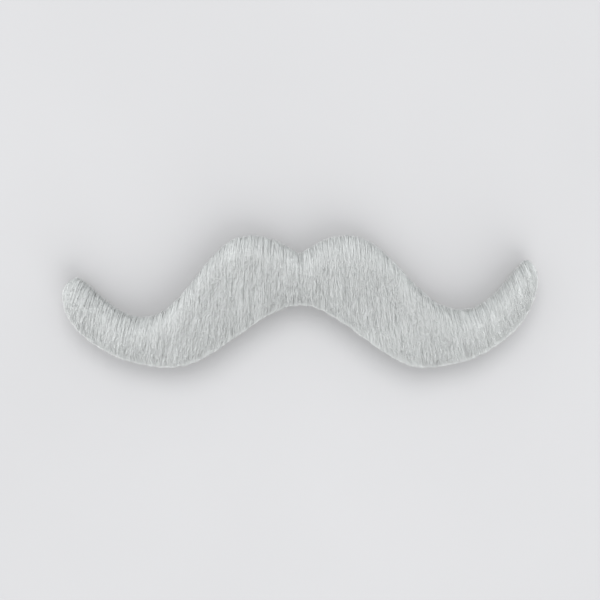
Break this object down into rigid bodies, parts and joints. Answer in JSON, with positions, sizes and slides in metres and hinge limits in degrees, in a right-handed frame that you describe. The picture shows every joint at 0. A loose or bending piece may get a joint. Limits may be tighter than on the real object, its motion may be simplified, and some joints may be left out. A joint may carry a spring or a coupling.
{
  "type": "fake moustache",
  "caption": "Self-adhesive costume moustache in pale grey plush, cut to a handlebar outline with raised, rounded tips and its pile combed down towards the mouth.",
  "frame": {"origin": "centre of the underside of the overall box: under the middle of the outline, on the face that sticks to the skin", "axes": "+X along the wings, to the viewer's right when the fur faces the viewer; +Y across the moustache, from the mouth edge towards the nose edge; +Z out of the face, from the adhesive to the tips of the fur"},
  "size_m": [0.0808, 0.0226, 0.0077],
  "materials": {
    "modacrylic_pile": "soft, combed pale grey pile with a low sheen",
    "polyester_knit": "matt knitted ground cloth",
    "adhesive_tape": "tacky, slightly glossy adhesive film"
  },
  "bodies": {
    "root": {"fur_pile": "modacrylic_pile", "knit_backing": "polyester_knit", "adhesive_tape": "adhesive_tape"}
  },
  "joints": []
}
